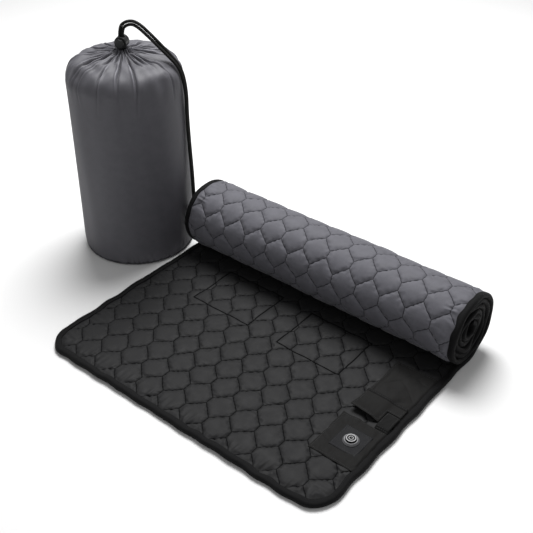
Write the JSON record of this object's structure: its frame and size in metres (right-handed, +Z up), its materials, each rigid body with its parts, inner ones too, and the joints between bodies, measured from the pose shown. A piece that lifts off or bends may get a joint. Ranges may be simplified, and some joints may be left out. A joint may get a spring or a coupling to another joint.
{
  "type": "heated quilted roll-up blanket with carry bag",
  "caption": "Heated blanket with hexagon quilting, part open and part rolled, black inside and grey outside, with a power button and a pocket, and its stuffed drawstring bag.",
  "frame": {"origin": "on the floor, under the middle of the blanket's open panel", "axes": "+X across the blanket, towards the edge with the power button; +Y from the open front edge to the roll; +Z up, out of the floor"},
  "size_m": [0.8327, 0.499, 0.4582],
  "materials": {
    "black_cover": "matte, fine plain weave, quilted",
    "grey_cover": "matte with a slight sheen, fine plain weave, quilted",
    "wadding": "soft fibre",
    "carrier_cloth": "thin felt",
    "heater_film": "carbon film",
    "conductor": "flat copper",
    "binding": "ribbed tape",
    "panel_cloth": "smooth, matte",
    "patch_cloth": "smooth, matte",
    "tab_cloth": "smooth, matte",
    "hook_and_loop": "hook and loop pile",
    "bag_cloth": "thin nylon with a soft sheen",
    "drawcord": "braided",
    "lock_plastic": "satin moulded",
    "black_plastic": "satin moulded",
    "silver_plastic": "satin silver",
    "light_guide": "milky",
    "board": "solder mask",
    "spring_steel": "bright",
    "grommet_rubber": "matte"
  },
  "bodies": {
    "blanket": {"bottom_cover": "grey_cover", "lower_wadding": "wadding", "heater_carrier": "carrier_cloth", "heating_pads": "heater_film", "heater_leads": "conductor", "thermal_cutout": "black_plastic", "upper_wadding": "wadding", "top_cover": "black_cover", "edge_binding": "binding", "control_panel": "panel_cloth", "button_patch": "patch_cloth", "button_base": "silver_plastic", "button_back_ring": "black_plastic", "circuit_board": "board", "board_pins": "conductor", "status_leds": "light_guide", "switch_dome": "spring_steel", "pocket": "panel_cloth", "flap_seam": "panel_cloth", "loop_tape": "hook_and_loop", "tab_foot": "tab_cloth", "lead_grommet": "grommet_rubber"},
    "power_button": {"button_cap": "black_plastic", "light_ring": "light_guide", "power_sign": "light_guide"},
    "flap": {"pocket_flap": "panel_cloth"},
    "tab": {"closure_tab": "tab_cloth", "hook_tape": "hook_and_loop"},
    "bag": {"bag_side": "bag_cloth", "bag_base": "bag_cloth", "base_seam": "bag_cloth", "packed_roll": "grey_cover", "drawcord_hem": "bag_cloth", "neck_bunch": "bag_cloth", "hem_cord": "drawcord", "drawcord_outer": "drawcord", "drawcord_inner": "drawcord", "end_knot": "drawcord"},
    "cord_lock": {"lock_body": "lock_plastic", "lock_spring": "spring_steel"},
    "plunger": {"lock_plunger": "lock_plastic"}
  },
  "joints": [
    {"name": "power_button_press", "type": "slide", "parent": "blanket", "child": "power_button", "axis": [0, 0, -1], "range_m": [0, 0.0012], "stiffness_N_per_m": 1200, "springref_m": -0.0005, "deforming": ["switch_dome"]},
    {"name": "pocket_flap_hinge", "type": "hinge", "parent": "blanket", "child": "flap", "pos_m": [0.24875, 0.034, 0.0163], "axis": [-1, 0, 0], "range_deg": [0, 150]},
    {"name": "closure_tab_hinge", "type": "hinge", "parent": "blanket", "child": "tab", "pos_m": [0.2755, -0.016, 0.0133], "axis": [1, 0, 0], "range_deg": [0, 150]},
    {"name": "bag_lift", "type": "slide", "parent": "blanket", "child": "bag", "axis": [0, 0, 1], "range_m": [0, 0.5]},
    {"name": "cord_lock_slide", "type": "slide", "parent": "bag", "child": "cord_lock", "axis": [0, 0, 1], "range_m": [0, 0.005]},
    {"name": "lock_plunger_press", "type": "slide", "parent": "cord_lock", "child": "plunger", "axis": [-0.454, 0.891, 0], "range_m": [0, 0.004], "stiffness_N_per_m": 400, "springref_m": -0.002, "deforming": ["lock_spring"]}
  ]
}
